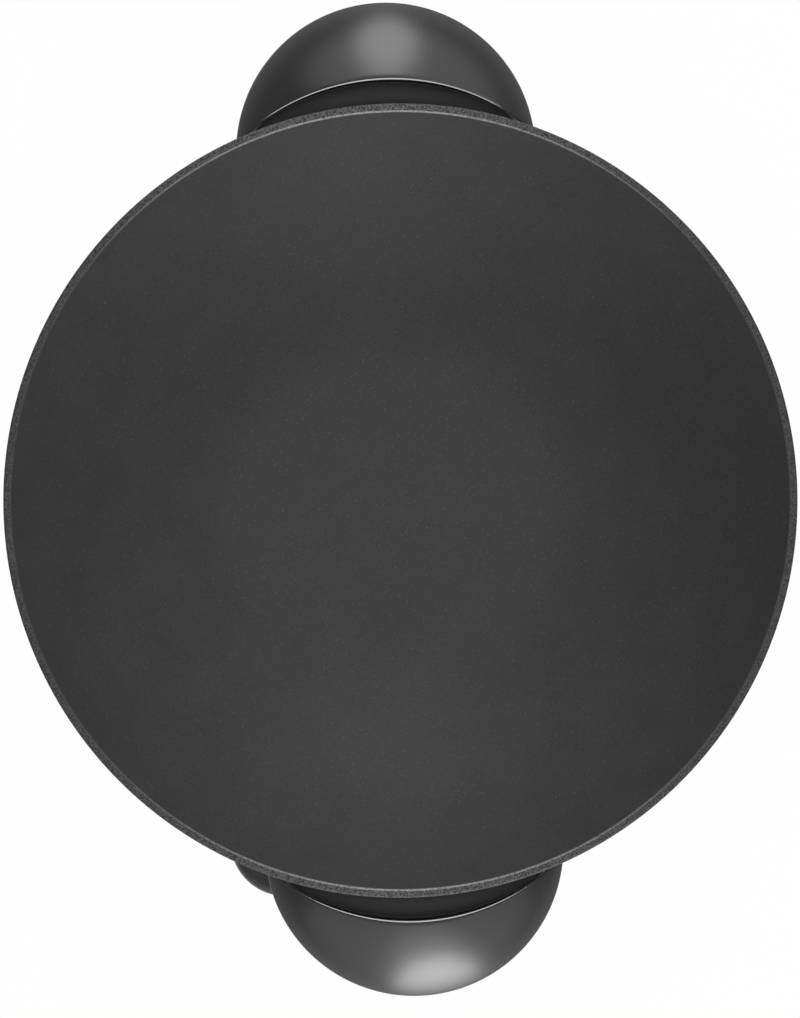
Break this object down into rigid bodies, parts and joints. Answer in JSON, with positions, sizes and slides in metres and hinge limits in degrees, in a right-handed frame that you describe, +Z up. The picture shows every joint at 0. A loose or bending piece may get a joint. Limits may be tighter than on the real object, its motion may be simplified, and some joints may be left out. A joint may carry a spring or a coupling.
{
  "type": "electric wok",
  "caption": "Electric wok: a round cast pan with recessed lobe handles on a slotted stand, with a plug-in temperature control, turning dial and release lever",
  "frame": {"origin": "bottom centre of the bounding box, on the table under the pan's axis", "axes": "+Z up; +Y toward the rear handle; -Y is the front, where the control plugs in below the front handle; +X to the right seen from the front"},
  "size_m": [0.3642, 0.4646, 0.155],
  "materials": {
    "nonstick_pan": "cast, dark speckled nonstick coating",
    "cover_black": "moulded, gloss",
    "shell_black": "moulded, matte",
    "dial_black": "moulded, satin",
    "nose_dark": "moulded, heat resistant",
    "steel": "bright drawn",
    "shield_aluminium": "pressed sheet",
    "brass_contact": "stamped",
    "silicone": "moulded",
    "insulator": "fired",
    "lamp_red": "clear red"
  },
  "bodies": {
    "base": {"base_shell": "shell_black", "seat_ring": "silicone", "heat_shield": "shield_aluminium", "shield_screws": "steel", "rubber_feet": "silicone"},
    "pan": {"wok_pan": "nonstick_pan", "heating_element": "steel", "terminal_pins": "steel", "pin_insulators": "insulator", "socket_guard": "steel", "guard_screws": "steel", "front_handle_frame": "shell_black", "front_handle_cover": "cover_black", "front_handle_grip": "shell_black", "front_handle_bolts": "steel", "front_grip_screws": "steel", "rear_handle_frame": "shell_black", "rear_handle_cover": "cover_black", "rear_handle_grip": "shell_black", "rear_handle_bolts": "steel", "rear_grip_screws": "steel"},
    "control": {"control_upper": "shell_black", "control_lower": "shell_black", "control_nose": "nose_dark", "contact_sockets": "brass_contact", "sensor_rod": "steel", "thermostat_frame": "steel", "contact_leaf": "brass_contact", "control_screws": "steel", "cord_gland": "shell_black", "lamp_lens": "lamp_red", "trigger_pin": "steel", "trigger_spring": "steel"},
    "dial": {"dial_knob": "dial_black", "dial_spindle": "steel"},
    "trigger": {"release_trigger": "shell_black"}
  },
  "joints": [
    {"name": "pan_lift", "type": "slide", "parent": "base", "child": "pan", "axis": [0, 0, 1], "range_m": [0, 0.1]},
    {"name": "control_pull", "type": "slide", "parent": "pan", "child": "control", "axis": [-0.3535, -0.9354, 0], "range_m": [0, 0.1]},
    {"name": "dial_turn", "type": "hinge", "parent": "control", "child": "dial", "pos_m": [-0.06076, -0.1608, 0.08], "axis": [0, 0, -1], "range_deg": [0, 270]},
    {"name": "trigger_squeeze", "type": "hinge", "parent": "control", "child": "trigger", "pos_m": [-0.04878, -0.12909, 0.03], "axis": [-0.9354, 0.3535, 0], "range_deg": [0, 6], "stiffness_Nm_per_rad": 0.1, "springref_deg": -17.19, "deforming": ["trigger_spring"]}
  ]
}
